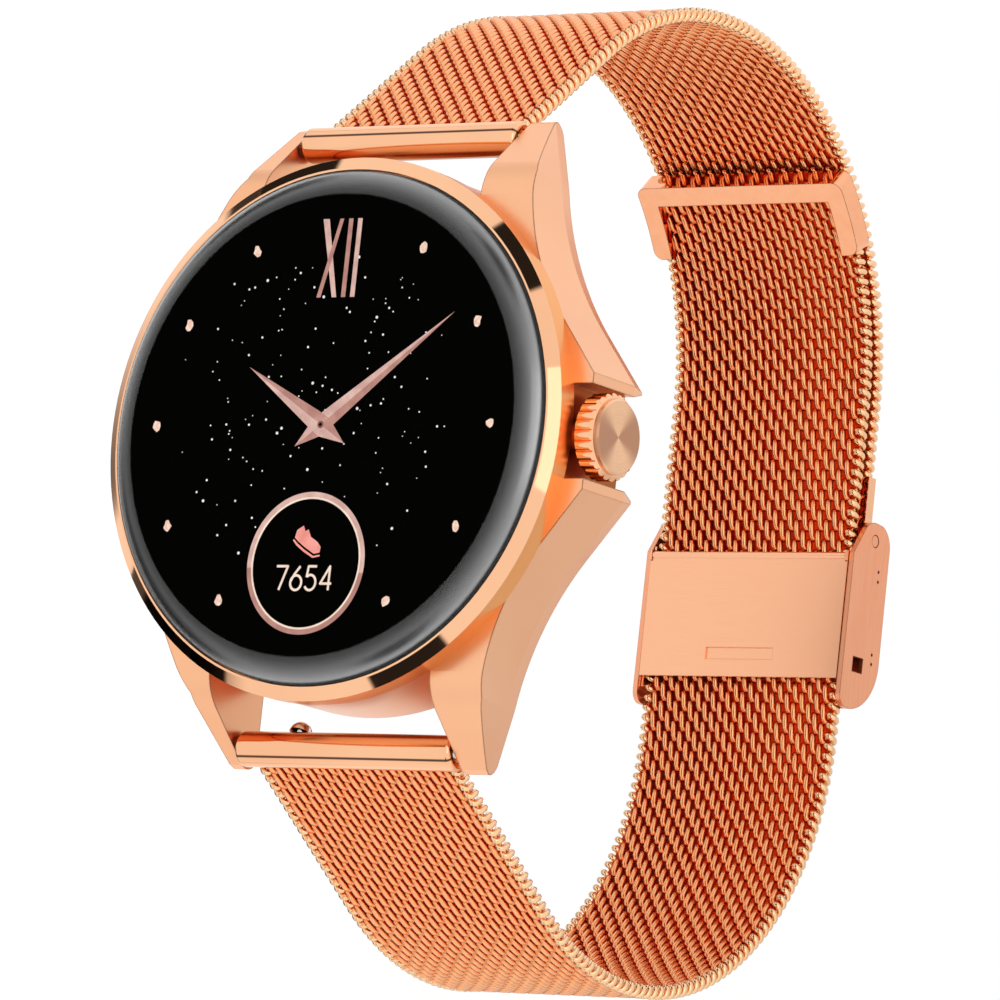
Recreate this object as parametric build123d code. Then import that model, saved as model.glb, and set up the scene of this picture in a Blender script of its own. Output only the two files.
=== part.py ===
"""Mesh-band smartwatch, closed as worn. Millimetres. +X points to the crown, +Y to 12 o'clock, +Z out of the dial.
The origin is the centre of the flat outer face of the sensor window, on the back of the case."""
from build123d import *
import math
import os

# ---- driving dimensions: head -------------------------------------------------------------------
DRUM_R = 21.7              # middle case
DRUM_BOTTOM = 1.2
SHOULDER_Z = 8.7           # top of the middle case, where the bezel sits
CAVITY_R = 19.6
BEZEL_R = 21.87
BEZEL_TOP = 11.0
GLASS_R = 20.75
GLASS_TOP = 12.15
GLASS_THICK = 0.55
GLASS_FLAT_R = 18.4        # where the glass starts to curve down to its rim
SEAT_R = 18.95             # bore under the glass
SEAT_Z = 9.95
GASKET_THICK = 0.15
DISPLAY_R = 18.7
DISPLAY_THICK = 0.58

LUG_GAP = 21.5             # between the inner faces of each pair of lugs
LUG_TIP_Y = 26.2
LUG_DRAW_Y = 30.0          # the lugs are drawn this long, then cut to their side view
LUG_BOTTOM_Z = DRUM_BOTTOM
LEFT_LUG_DRAFT = 2         # degrees, on the outer side of the left-hand lugs
BEVEL_DRAFT = 15           # under the right-hand lugs and guards
SIDE_BAND_Z = 2.95         # top of that bevel
LUG_ROOT_X = 6.0           # the lugs are drawn this far in, then the strap gap is cut
GUARD_X = 23.36            # outermost flat of the crown guards
GUARD_CORNER_Y = 4.6
CROWN_NOTCH = 3.75         # half width of the gap between the guards
CROWN_SEAT_X = 21.3        # flat of the case behind the crown

BACK_R = 20.6
BACK_BOTTOM = 0.7
BACK_TOP = 2.0
BACK_RECESS_Z = 2.2
WINDOW_R = 7.45
WINDOW_FLANGE_R = 8.15
WINDOW_STEP_Z = 1.5
BOSS_R = 1.6
BOSS_CIRCLE_R = 18.2
BOSS_ANGLES = (60, 120, 240, 300)
BACK_SCREW_R = 0.55
BACK_SCREW_HEAD_R = 1.0
PAD_PLACES = ((-3.2, -13.0), (3.2, -13.0))
PAD_R = 1.2

BATTERY = (21.0, 24.0, 3.8)
BATTERY_CENTRE = (-4.0, 0.0, 5.1)
BOARD_R = 18.4
BOARD_Z = 8.0
BOARD_THICK = 0.6
MOTOR_PLACE = (11.5, -9.2)
MOTOR_R = 3.8

# ---- driving dimensions: crown ------------------------------------------------------------------
CROWN_Z = 5.8
KNOB_R = 3.45
KNOB_ROOT_R = 3.14
KNOB_TEETH = 24
KNOB_X = (22.28, 23.95)
CAP_R = 2.98
CAP_X = (23.65, 24.35)
STEM_R = 0.9
RUNNING_GAP = 0.05
TUBE_R = 1.6
TUBE_X = (17.5, 22.2)
WHEEL_R = 2.0
WHEEL_X = (15.2, 16.2)

# ---- driving dimensions: strap ------------------------------------------------------------------
BAR_Y = 24.7               # spring bar axis
BAR_Z = 3.34
END_TUBE_R = 1.45
END_TUBE_HALF = 10.5
BARREL_R = 0.75
BARREL_HALF = 10.35
BARREL_BORE_R = 0.5
TIP_R = 0.45
TIP_END = 11.5
LEVER_X = -5.5
LEVER_TRAVEL = 1.3
LEVER_POST_R = 0.4
LEVER_KNOB_R = 0.95
LEVER_DROP_DEG = 22.0      # the knob points towards the case and this far down

BAND_HALF = 9.8
BAND_THICK = 1.1
LOOP_Y = 14.0              # centres of the loop's two round ends
LOOP_Z = -26.3
UPPER_LOOP_R = 27.2        # middle of the outer layer
LOWER_LOOP_R = 25.5        # middle of the inner layer
UPPER_BAND_END_Y = 8.0
TAIL_ANGLE = -45.2         # where the inner layer ends, seen from the loop's centre
CAP_ANGLES = (-60.2, -44.0)
CAP_RADII = (24.15, 26.15)
CAP_HALF = 10.35
CAP_LEG = 1.7
CAP_ROUND = 0.9            # of its four corners, seen along the loop's radius

# ---- driving dimensions: clasp ------------------------------------------------------------------
FLANGE_OUT = 10.53
FLANGE_IN = 10.08
FLANGE_TOP = -50.75
COVER_BOTTOM = -56.4
COVER_FLOOR = 0.6
COVER_FLOOR_END_Y = 1.8
COVER_LIP_Z = -53.2        # height of the cover's closed end, under the inner layer
HINGE_Y = 2.6
HINGE_Z = -54.0
HINGE_PIN_R = 0.5
KNUCKLE_R = 1.0
END_PLATE_HALF = 9.95
BASE_HALF = 10.03
BASE_WALL = 0.2
BASE_Y = (-10.6, 1.6)
BASE_Z = (-52.95, -52.45)
BASE_WALL_TOP = -51.2
PLATE_Y = (-9.7, 0.8)
PLATE_Z = (-51.12, -50.7)
LOCK_Z = -50.9             # lock plate's pin
LOCK_PIN_R = 0.2
LOCK_KNUCKLE_R = 0.33

TURN_X = Rot(0, 90, 0)     # turns a Z cylinder onto the X axis


def rod(radius, x0, x1, y=0.0, z=0.0):
    """Round bar along X."""
    return Pos((x0 + x1) / 2, y, z) * TURN_X * Cylinder(radius, x1 - x0)


def ring_x(outer, inner, x0, x1, y=0.0, z=0.0):
    """Tube along X."""
    return rod(outer, x0, x1, y, z) - rod(inner, x0 - 1, x1 + 1, y, z)


def disc(radius, z0, z1, x=0.0, y=0.0):
    return Pos(x, y, (z0 + z1) / 2) * Cylinder(radius, z1 - z0)


def ring(outer, inner, z0, z1):
    return disc(outer, z0, z1) - disc(inner, z0 - 1, z1 + 1)


def block(x, y, z):
    """Box between two limits on each axis."""
    size = (x[1] - x[0], y[1] - y[0], z[1] - z[0])
    return Pos((x[0] + x[1]) / 2, (y[0] + y[1]) / 2, (z[0] + z[1]) / 2) * Box(*size)


def turned(outline):
    """Solid of revolution about Z from an outline in radius and height."""
    return revolve(Plane.XZ * make_face(outline), Axis.Z, 360)


def side_slab(outline, half, centre=0.0):
    """Extrudes an outline drawn in (y, z) along X, centred on x = centre."""
    face = Plane.YZ * make_face(outline)
    return Pos(centre, 0, 0) * extrude(face, half, both=True)


def closed(points):
    return Polyline(*points, close=True)


def mirrored_y(part):
    return part + mirror(part, Plane.XZ)


def drafted(plan, top, bottom, draft):
    """Extrudes a plan downwards from one height to another, its sides leaning in by the draft angle."""
    return Pos(0, 0, top) * extrude(plan, top - bottom, dir=(0, 0, -1), taper=draft)


# ---- head ---------------------------------------------------------------------------------------
def right_flank(straight_end, hollow, bend, tip_x):
    """Plan of one right-hand lug with its crown guard: one flank runs from the guard's flat to the lug's tip."""
    return make_face([
        Polyline((LUG_ROOT_X, LUG_DRAW_Y), (LUG_ROOT_X, CROWN_NOTCH), (GUARD_X, CROWN_NOTCH),
                 (GUARD_X, GUARD_CORNER_Y), straight_end),
        ThreePointArc(straight_end, hollow, bend),
        Polyline(bend, (tip_x, LUG_DRAW_Y), (LUG_ROOT_X, LUG_DRAW_Y)),
    ])


def right_lug():
    """Flank leaning in from the shoulder to the bevel, and the bevel under it."""
    top = right_flank((19.6, 9.4), (16.68, 14.87), (15.7, 21.0), 12.8)
    bottom = right_flank((19.5, 9.4), (16.2, 14.9), (14.4, 21.0), 12.2)
    flank = loft([Pos(0, 0, SIDE_BAND_Z) * bottom, Pos(0, 0, SHOULDER_Z) * top], ruled=True)
    return flank + drafted(bottom, SIDE_BAND_Z, LUG_BOTTOM_Z, BEVEL_DRAFT)


def left_lug_plan():
    """Plan of one left-hand lug, slimmer than the right-hand ones."""
    root, bow, bend = (-17.2, 13.2), (-15.1, 17.3), (-12.85, 21.0)
    return make_face([
        Polyline(root, (-LUG_ROOT_X, 8.0), (-LUG_ROOT_X, LUG_DRAW_Y), (-11.6, LUG_DRAW_Y), bend),
        ThreePointArc(bend, bow, root),
    ])


def lug_side():
    """Side view of the case: flat under the bezel, then a straight slope down to both lug tips."""
    flat, knee, slope = (19.0, SHOULDER_Z), (20.53, 8.35), (21.86, 7.46)
    brow, tip = (25.95, 3.1), (LUG_TIP_Y, 2.5)
    toe, heel = (26.05, 1.75), (25.4, LUG_BOTTOM_Z)

    def other(point):
        return -point[0], point[1]

    face = make_face([
        Line(other(flat), flat), ThreePointArc(flat, knee, slope), Polyline(slope, brow, tip),
        ThreePointArc(tip, toe, heel), Line(heel, other(heel)),
        ThreePointArc(other(heel), other(toe), other(tip)), Polyline(other(tip), other(brow), other(slope)),
        ThreePointArc(other(slope), other(knee), other(flat)),
    ])
    return extrude(Plane.YZ * face, 30, both=True)


def mid_case():
    lugs = right_lug() + drafted(left_lug_plan(), SHOULDER_Z, LUG_BOTTOM_Z, LEFT_LUG_DRAFT)
    lugs = mirrored_y(lugs) & lug_side()
    for side in (-1, 1):
        gap = sorted((side * 15, side * 40))
        lugs -= block((-LUG_GAP / 2, LUG_GAP / 2), gap, (0, SHOULDER_Z + 1))
    beyond_flank = block((14, 30), (GUARD_CORNER_Y, 21), (LUG_BOTTOM_Z, SHOULDER_Z)) - right_lug()
    case = disc(DRUM_R, DRUM_BOTTOM, SHOULDER_Z) - mirrored_y(beyond_flank) + lugs
    case -= disc(CAVITY_R, 0, 10)
    case -= disc(BACK_R + 0.05, 0, BACK_RECESS_Z)
    for angle in BOSS_ANGLES:
        x, y = boss_place(angle)
        case += disc(BOSS_R, BACK_TOP + 0.05, 6.0, x, y)
        case -= disc(BACK_SCREW_R, 0, 4.6, x, y)
    case -= block((CROWN_SEAT_X, 30), (-CROWN_NOTCH, CROWN_NOTCH), (0, SHOULDER_Z + 1))
    case -= rod(TUBE_R, 15, 25, 0, CROWN_Z)
    for side in (-1, 1):
        case -= rod(TIP_R + RUNNING_GAP, -TIP_END - 0.3, TIP_END + 0.3, side * BAR_Y, BAR_Z)
    return case


def boss_place(angle):
    a = math.radians(angle)
    return BOSS_CIRCLE_R * math.cos(a), BOSS_CIRCLE_R * math.sin(a)


def bezel_ring():
    return turned(closed([
        (SEAT_R, SHOULDER_Z), (BEZEL_R, SHOULDER_Z), (BEZEL_R, 10.45), (20.98, BEZEL_TOP),
        (GLASS_R + 0.05, BEZEL_TOP), (GLASS_R + 0.05, SEAT_Z), (SEAT_R, SEAT_Z),
    ]))


def cover_glass():
    foot = SEAT_Z + GASKET_THICK
    inside = GLASS_TOP - GLASS_THICK
    pocket = DISPLAY_R + 0.15
    return turned([
        Polyline((0, inside), (0, GLASS_TOP), (GLASS_FLAT_R, GLASS_TOP)),
        TangentArc((GLASS_FLAT_R, GLASS_TOP), (GLASS_R, 11.05), tangent=(1, 0)),
        Polyline((GLASS_R, 11.05), (GLASS_R, foot), (SEAT_R, foot), (pocket, inside), (0, inside)),
    ])


def glass_gasket():
    return ring(GLASS_R, SEAT_R, SEAT_Z, SEAT_Z + GASKET_THICK)


def display_panel():
    top = GLASS_TOP - GLASS_THICK - 0.02
    return disc(DISPLAY_R, top - DISPLAY_THICK, top)


def display_flex():
    """Ribbon from under the display down to the main board."""
    top = GLASS_TOP - GLASS_THICK - 0.02 - DISPLAY_THICK
    board = BOARD_Z + BOARD_THICK
    thick = 0.15
    outline = closed([
        (-13.0, top), (-17.6, top), (-17.6, board), (-14.5, board), (-14.5, board + thick),
        (-17.6 + thick, board + thick), (-17.6 + thick, top - thick), (-13.0, top - thick),
    ])
    return Rot(0, 0, 90) * extrude(Plane.XZ * make_face(outline), 3, both=True)


def main_board():
    board = disc(BOARD_R, BOARD_Z, BOARD_Z + BOARD_THICK)
    for x, y in bracket_screw_places():
        board -= disc(0.45, 0, 12, x, y)
    return board


def board_chips():
    """Processor, memory, radio, power and a few small parts."""
    top = BOARD_Z + BOARD_THICK
    chips = [(0, 0, 8, 8, 0.9), (9.5, 2, 5, 6, 0.8), (-9.5, 3, 5, 5, 0.8), (2, 10.5, 7, 4, 0.7),
             (-2, -10.0, 6, 5, 0.8), (8.5, -8.0, 3, 3, 0.7), (-9.5, -7.0, 3, 4, 0.6)]
    return [block((x - w / 2, x + w / 2), (y - d / 2, y + d / 2), (top, top + h)) for x, y, w, d, h in chips]


def bracket_screw_places():
    return [(16.2 * math.cos(math.radians(a)), 16.2 * math.sin(math.radians(a))) for a in (40, 180, 340)]


def battery():
    x, y, z = BATTERY_CENTRE
    body = Box(*BATTERY)
    return Pos(x, y, z) * fillet(body.edges().filter_by(Axis.Z), 1.5)


def inner_bracket():
    """Plastic frame: a ring, the battery's cradle, the crown encoder's cheeks and posts for the board."""
    bottom = 2.9
    x, y, _ = BATTERY_CENTRE
    length, width, height = BATTERY
    bracket = ring(19.4, 18.7, bottom, BOARD_Z)
    cradle = Pos(x, y, bottom + height / 2) * (Box(length + 2, width + 2, height)
                                               - Box(length + 0.2, width + 0.2, height + 2))
    bracket += cradle & disc(19.0, 0, 12)
    bracket += block((x + length / 2 + 0.5, 18.9), (-2.6, 2.6), (bottom, 3.5))
    bracket += block((14.75, 15.12), (-2.6, 2.6), (3.2, 7.9))
    bracket += block((16.28, 16.55), (-2.6, 2.6), (3.2, 7.9))
    for px, py in bracket_screw_places():
        reach = 18.9 / math.hypot(px, py)
        post = disc(1.3, bottom, BOARD_Z, px, py)
        web = Pos((px + px * reach) / 2, (py + py * reach) / 2, (bottom + BOARD_Z) / 2) * (
            Rot(0, 0, math.degrees(math.atan2(py, px))) * Box(3.0, 1.2, BOARD_Z - bottom))
        bracket += (post + web) & disc(19.3, 0, 12)
        bracket -= disc(0.35, 5.0, 12, px, py)
    bracket -= Pos(x, y, 0) * Box(length + 0.2, width + 0.2, 40)
    bracket -= block((17.0, 21), (-3.2, 3.2), (3.6, 9))
    bracket -= rod(1.05, 14.0, 17.0, 0, CROWN_Z)
    for angle in BOSS_ANGLES:
        bx, by = boss_place(angle)
        bracket -= disc(BOSS_R + 0.15, 0, 6.15, bx, by)
    return bracket


def bracket_screws():
    top = BOARD_Z + BOARD_THICK
    return [disc(0.75, top, top + 0.4, x, y) + disc(0.35, 5.6, top, x, y) for x, y in bracket_screw_places()]


def vibration_motor():
    return disc(MOTOR_R, 3.2, 5.9, *MOTOR_PLACE)


def sensor_board():
    return disc(8.5, 2.3, 2.8)


def sensor_leds():
    """Two green LEDs in the middle and four photodiodes round them, under the sensor board."""
    places = [(-0.9, 0, 1.1), (0.9, 0, 1.1), (0, 4.2, 2.2), (0, -4.2, 2.2), (4.2, 0, 2.2), (-4.2, 0, 2.2)]
    return [block((x - w / 2, x + w / 2), (y - w / 2, y + w / 2), (2.03, 2.3)) for x, y, w in places]


def sensor_window():
    window = disc(WINDOW_R, 0, WINDOW_STEP_Z)
    window = fillet(window.edges().group_by(Axis.Z)[0], 0.5)
    return window + disc(WINDOW_FLANGE_R, WINDOW_STEP_Z, BACK_TOP)


def case_back():
    back = disc(BACK_R, BACK_BOTTOM, BACK_TOP)
    back = chamfer(back.edges().group_by(Axis.Z)[0], 0.4)
    back -= disc(WINDOW_R + 0.03, 0, 3)
    back -= disc(WINDOW_FLANGE_R + 0.03, WINDOW_STEP_Z, 3)
    for angle in BOSS_ANGLES:
        x, y = boss_place(angle)
        back -= disc(BACK_SCREW_R, 0, 3, x, y)
        back -= disc(BACK_SCREW_HEAD_R + 0.05, 0, 1.3, x, y)
    for x, y in PAD_PLACES:
        back -= disc(PAD_R, 0, 3, x, y)
    return back


def case_back_gasket():
    return ring(BACK_R, CAVITY_R + 0.25, BACK_TOP, BACK_RECESS_Z)


def case_back_screws():
    screws = []
    for angle in BOSS_ANGLES:
        x, y = boss_place(angle)
        screw = disc(BACK_SCREW_HEAD_R, 0.75, 1.3, x, y) + disc(BACK_SCREW_R, 1.3, 4.4, x, y)
        slot = block((x - 2, x + 2), (y - 0.12, y + 0.12), (0, 1.0))
        screws.append(screw - slot)
    return screws


def charging_pads():
    return [disc(PAD_R, BACK_BOTTOM - 0.05, 2.2, x, y) for x, y in PAD_PLACES]


# ---- crown --------------------------------------------------------------------------------------
def crown_knob():
    """Knurled knob; the knurl is a ring of rounded ribs."""
    step = 2 * math.pi / KNOB_TEETH
    ribs = []
    for i in range(KNOB_TEETH):
        turns = (i * step, (i + 0.5) * step, (i + 1) * step)
        radii = (KNOB_ROOT_R, KNOB_R, KNOB_ROOT_R)
        ribs.append(ThreePointArc(*[(r * math.cos(a), r * math.sin(a)) for r, a in zip(radii, turns)]))
    teeth = extrude(Plane.YZ * make_face(ribs), KNOB_X[1] - KNOB_X[0])
    knob = Pos(KNOB_X[0], 0, CROWN_Z) * teeth
    width = KNOB_X[1] - KNOB_X[0]
    outer = KNOB_R + 0.02
    rim = turned(closed([(0, 0), (3.2, 0), (outer, 0.2), (outer, width - 0.25), (3.08, width), (0, width)]))
    knob = knob & (Pos(KNOB_X[0], 0, CROWN_Z) * TURN_X * rim)
    knob -= rod(CAP_R, CAP_X[0], 30, 0, CROWN_Z)
    knob -= rod(TUBE_R + 0.1, 20, 23.2, 0, CROWN_Z)
    return knob - rod(0.8, 20, 23.5, 0, CROWN_Z)


def crown_cap():
    """Cap with a shallow dish, let into the knob."""
    cap = rod(CAP_R, *CAP_X, 0, CROWN_Z)
    cap = chamfer(cap.edges().group_by(Axis.X)[-1], 0.15)
    dish = Pos(CAP_X[1] + 19.9, 0, CROWN_Z) * Sphere(20)
    return cap - dish


def crown_stem():
    stem = rod(STEM_R, 14.3, 22.2, 0, CROWN_Z) + rod(0.8, 22.2, 23.5, 0, CROWN_Z)
    stem -= ring_x(2, 0.56, 20.0, 20.6, 0, CROWN_Z)
    return stem - ring_x(2, 0.6, 17.0, 17.3, 0, CROWN_Z)


def crown_tube():
    return ring_x(TUBE_R, STEM_R + RUNNING_GAP, *TUBE_X, 0, CROWN_Z)


def crown_o_ring():
    return Pos(20.3, 0, CROWN_Z) * TURN_X * Torus(0.75, 0.185)


def crown_retaining_clip():
    clip = ring_x(1.45, 0.6, 17.02, 17.28, 0, CROWN_Z)
    return clip - block((16, 18), (-0.55, 0.55), (CROWN_Z, CROWN_Z + 3))


def coil(wire, radius, pitch, height):
    """Compression spring along Z, starting at z = 0."""
    path = Helix(pitch, height, radius)
    start = Plane(origin=path @ 0, z_dir=path % 0)
    return sweep(start * Circle(wire), path=path, is_frenet=True)


def crown_spring():
    return Pos(22.75, 0, CROWN_Z) * TURN_X * coil(0.1, 1.3, 0.16 * 1.6, 0.3)


def crown_encoder_wheel():
    """Slotted wheel that the encoder reads; the stem slides in its bore."""
    wheel = ring_x(WHEEL_R, STEM_R + RUNNING_GAP, *WHEEL_X, 0, CROWN_Z)
    slot = Pos(0, 0, WHEEL_R) * Box(4, 0.3, 0.6)
    for i in range(16):
        wheel -= Pos(WHEEL_X[1], 0, CROWN_Z) * Rot(i * 22.5, 0, 0) * slot
    return wheel


def crown_switch():
    body = block((12.6, 13.6), (-1.6, 1.6), (3.5, 7.4))
    return body + rod(0.7, 13.6, 13.93, 0, CROWN_Z)


# ---- spring bars, drawn along X through the origin ------------------------------------------------
def knob_turn(side):
    """Turns +Z to where the lever's knob points, towards the case and a little down."""
    return Rot(side * (90 + LEVER_DROP_DEG), 0, 0)


def lever_slot(side, width):
    reach = LEVER_POST_R + 0.05
    slot = block((LEVER_X - reach, LEVER_X + LEVER_TRAVEL + reach), (-width, width), (0, 4))
    return knob_turn(side) * slot


def end_tube(side):
    tube = rod(END_TUBE_R, -END_TUBE_HALF, END_TUBE_HALF)
    tube = fillet(tube.edges(), 0.35)
    tube -= rod(BARREL_R + RUNNING_GAP, -12, 12)
    return tube - lever_slot(side, LEVER_POST_R + 0.05)


def spring_bar(side):
    """Barrel with one fixed tip; the other end is open for the lever's tip."""
    bar = rod(BARREL_R, -BARREL_HALF, BARREL_HALF) + rod(TIP_R, BARREL_HALF - 0.5, TIP_END)
    bar -= rod(BARREL_BORE_R, -12, 0.3)
    return bar - lever_slot(side, LEVER_POST_R + 0.03)


def release_lever(side):
    """Sliding tip, post and knob in one piece."""
    stem = rod(TIP_R, -TIP_END, -4.6)
    stem = chamfer(stem.edges().group_by(Axis.X)[0], 0.12)
    post = Pos(LEVER_X, 0, 0.95) * Cylinder(LEVER_POST_R, 1.9)
    knob = Pos(LEVER_X, 0, 1.55) * Sphere(LEVER_KNOB_R)
    knob &= Pos(LEVER_X, 0, 2.5) * Box(3, 3, 1.94)
    return stem + knob_turn(side) * (post + knob)


def bar_spring():
    return Pos(-3.15, 0, 0) * TURN_X * coil(0.07, 0.36, 0.42, 3.3)


def strap_hardware(side, name):
    """End tube, spring bar, lever and spring of one strap end."""
    place = Pos(0, side * BAR_Y, BAR_Z)
    return {
        f"{name}_end_tube": place * end_tube(side),
        f"{name}_spring_bar": place * spring_bar(side),
        f"{name}_release_lever": place * release_lever(side),
        f"{name}_bar_spring": place * bar_spring(),
    }


# ---- mesh bands, drawn in (y, z) and extruded along X ---------------------------------------------
def tangent_angle(radius):
    """Angle, from +Y, of the point where a loop of this radius meets the straight run to the spring bar."""
    dy = BAR_Y - LOOP_Y
    dz = BAR_Z - LOOP_Z
    return math.atan2(dz, dy) - math.acos(radius / math.hypot(dy, dz))


def on_loop(side, radius, angle):
    return side * (LOOP_Y + radius * math.cos(angle)), LOOP_Z + radius * math.sin(angle)


def loop_edge(side, middle, offset):
    """One face of a band: the straight run from the spring bar, then the round end, down to the flat bottom."""
    angle = tangent_angle(middle)
    normal = (math.cos(angle), math.sin(angle))
    start = (side * (BAR_Y + offset * normal[0]), BAR_Z + offset * normal[1])
    radius = middle + offset
    meet = on_loop(side, radius, angle)
    half_way = on_loop(side, radius, (angle - math.pi / 2) / 2)
    bottom = on_loop(side, radius, -math.pi / 2)
    return start, meet, half_way, bottom


def upper_mesh_band():
    half = BAND_THICK / 2
    outer = loop_edge(1, UPPER_LOOP_R, half)
    inner = loop_edge(1, UPPER_LOOP_R, -half)
    outline = [
        Line(outer[0], outer[1]), ThreePointArc(*outer[1:]),
        Polyline(outer[3], (UPPER_BAND_END_Y, outer[3][1]), (UPPER_BAND_END_Y, inner[3][1]), inner[3]),
        ThreePointArc(inner[3], inner[2], inner[1]), Line(inner[1], inner[0]), Line(inner[0], outer[0]),
    ]
    return side_slab(outline, BAND_HALF) - rod(END_TUBE_R, -20, 20, BAR_Y, BAR_Z)


def lower_mesh_band():
    half = BAND_THICK / 2
    outer = loop_edge(-1, LOWER_LOOP_R, half)
    inner = loop_edge(-1, LOWER_LOOP_R, -half)
    end = math.radians(TAIL_ANGLE)
    middle = (end - math.pi / 2) / 2
    tails = [[on_loop(1, LOWER_LOOP_R + s * half, a) for a in (-math.pi / 2, middle, end)] for s in (1, -1)]
    outline = [
        Line(outer[0], outer[1]), ThreePointArc(*outer[1:]), Line(outer[3], tails[0][0]),
        ThreePointArc(*tails[0]), Line(tails[0][2], tails[1][2]), ThreePointArc(*reversed(tails[1])),
        Line(tails[1][0], inner[3]), ThreePointArc(inner[3], inner[2], inner[1]),
        Line(inner[1], inner[0]), Line(inner[0], outer[0]),
    ]
    return side_slab(outline, BAND_HALF) - rod(END_TUBE_R, -20, 20, -BAR_Y, BAR_Z)


def sector(radii, angles, half):
    """Part of a curved wall round the loop's right-hand centre."""
    a0, a1 = (math.radians(a) for a in angles)
    low = [on_loop(1, radii[0], a) for a in (a0, (a0 + a1) / 2, a1)]
    high = [on_loop(1, radii[1], a) for a in (a0, (a0 + a1) / 2, a1)]
    outline = [ThreePointArc(*low), Line(low[2], high[2]), ThreePointArc(*reversed(high)), Line(high[0], low[0])]
    return side_slab(outline, half)


def tail_cap():
    """Clip over the end of the inner layer: a U-shaped frame inside the loop and a wall across the mesh's end."""
    low, high = CAP_RADII
    band_low = LOWER_LOOP_R - BAND_THICK / 2
    cap = sector(CAP_RADII, CAP_ANGLES, CAP_HALF)
    corners = [e for e in cap.edges() if abs(e.length - (high - low)) < 0.01]
    cap = fillet(corners, CAP_ROUND)
    cap -= sector((band_low, high + 1), (CAP_ANGLES[0] - 2, TAIL_ANGLE), BAND_HALF)
    return cap - sector((low - 1, band_low + 0.1), (CAP_ANGLES[0] - 2, CAP_ANGLES[1] - 4.4), CAP_HALF - CAP_LEG)


def upper_end_plate():
    """Plate at the end of the outer layer, rolled round the clasp's hinge pin."""
    middle = LOOP_Z - UPPER_LOOP_R
    half = BAND_THICK / 2
    across = (-END_PLATE_HALF, END_PLATE_HALF)
    plate = block(across, (HINGE_Y + 0.4, UPPER_BAND_END_Y), (middle - half, middle + half))
    plate += rod(KNUCKLE_R, *across, HINGE_Y, HINGE_Z)
    return plate - rod(HINGE_PIN_R, -20, 20, HINGE_Y, HINGE_Z)


def clasp_hinge_pin():
    return rod(HINGE_PIN_R, -FLANGE_OUT + 0.03, FLANGE_OUT - 0.03, HINGE_Y, HINGE_Z)


# ---- clasp --------------------------------------------------------------------------------------
def cover_outline(inset):
    """Side view of the cover: flat outside, a round free end and a slanted edge over the hinge."""
    top = FLANGE_TOP
    floor = COVER_BOTTOM + inset
    end = -12.05 + inset
    return [
        Polyline((end, -52.6), (end, -51.9)),
        ThreePointArc((end, -51.9), (end + 0.3, top - 0.35), (end + 1.0, top)),
        Polyline((end + 1.0, top), (1.1, top - 0.1), (3.6, -52.5)),
        ThreePointArc((3.6, -52.5), (4.05, -53.2), (4.15, -54.0)),
        Line((4.15, -54.0), (4.05, -55.0)),
        ThreePointArc((4.05, -55.0), (3.5, floor + 0.55), (2.2, floor)),
        Line((2.2, floor), (-7.4, floor)),
        ThreePointArc((-7.4, floor), (end + 1.4, floor + 1.15), (end, -52.6)),
    ]


def clasp_cover():
    """Channel that folds over the clasp: an outer wall with a flange each side."""
    cover = side_slab(cover_outline(0.0), FLANGE_OUT)
    cover -= side_slab(cover_outline(COVER_FLOOR), FLANGE_IN)
    cover -= block((-FLANGE_IN, FLANGE_IN), (-20, 10), (COVER_LIP_Z, -40))
    cover -= block((-FLANGE_IN, FLANGE_IN), (COVER_FLOOR_END_Y, 10), (-60, -40))
    cover -= rod(HINGE_PIN_R + RUNNING_GAP, -20, 20, HINGE_Y, HINGE_Z)
    cover -= block((-20, 20), (-8.85, -7.55), (-53.85, -52.25))
    for y, z in ((0.1, -54.95), (-0.75, -55.0), (-7.0, -55.15), (-7.8, -55.2)):
        cover -= rod(0.13, -20, 20, y, z)
    return cover


def clasp_base():
    """Carriage that the inner layer runs through, with ears for the lock plate's pin."""
    base = block((-BASE_HALF, BASE_HALF), BASE_Y, BASE_Z)
    for side in (-1, 1):
        wall = sorted((side * (BASE_HALF - BASE_WALL), side * BASE_HALF))
        base += block(wall, BASE_Y, (BASE_Z[0], BASE_WALL_TOP))
        base += block(wall, (0.35, 1.25), (BASE_WALL_TOP - 0.2, LOCK_Z + 0.35))
    return base - rod(LOCK_PIN_R, -20, 20, PLATE_Y[1], LOCK_Z)


def clasp_lock_pin():
    return rod(LOCK_PIN_R, -BASE_HALF, BASE_HALF, PLATE_Y[1], LOCK_Z)


def clasp_lock_plate():
    """Plate that presses the inner layer onto the base, with a recess to pry it up."""
    inner = BASE_HALF - BASE_WALL - 0.03
    plate = block((-BASE_HALF, BASE_HALF), (PLATE_Y[0], 0.3), PLATE_Z)
    plate += block((-inner, inner), (0.2, PLATE_Y[1]), PLATE_Z)
    plate += rod(LOCK_KNUCKLE_R, -inner, inner, PLATE_Y[1], LOCK_Z)
    plate -= rod(LOCK_PIN_R + 0.03, -20, 20, PLATE_Y[1], LOCK_Z)
    recess = block((-3.4, 3.4), (-8.2, -7.2), (PLATE_Z[1] - 0.15, PLATE_Z[1] + 1))
    return plate - recess


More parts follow.
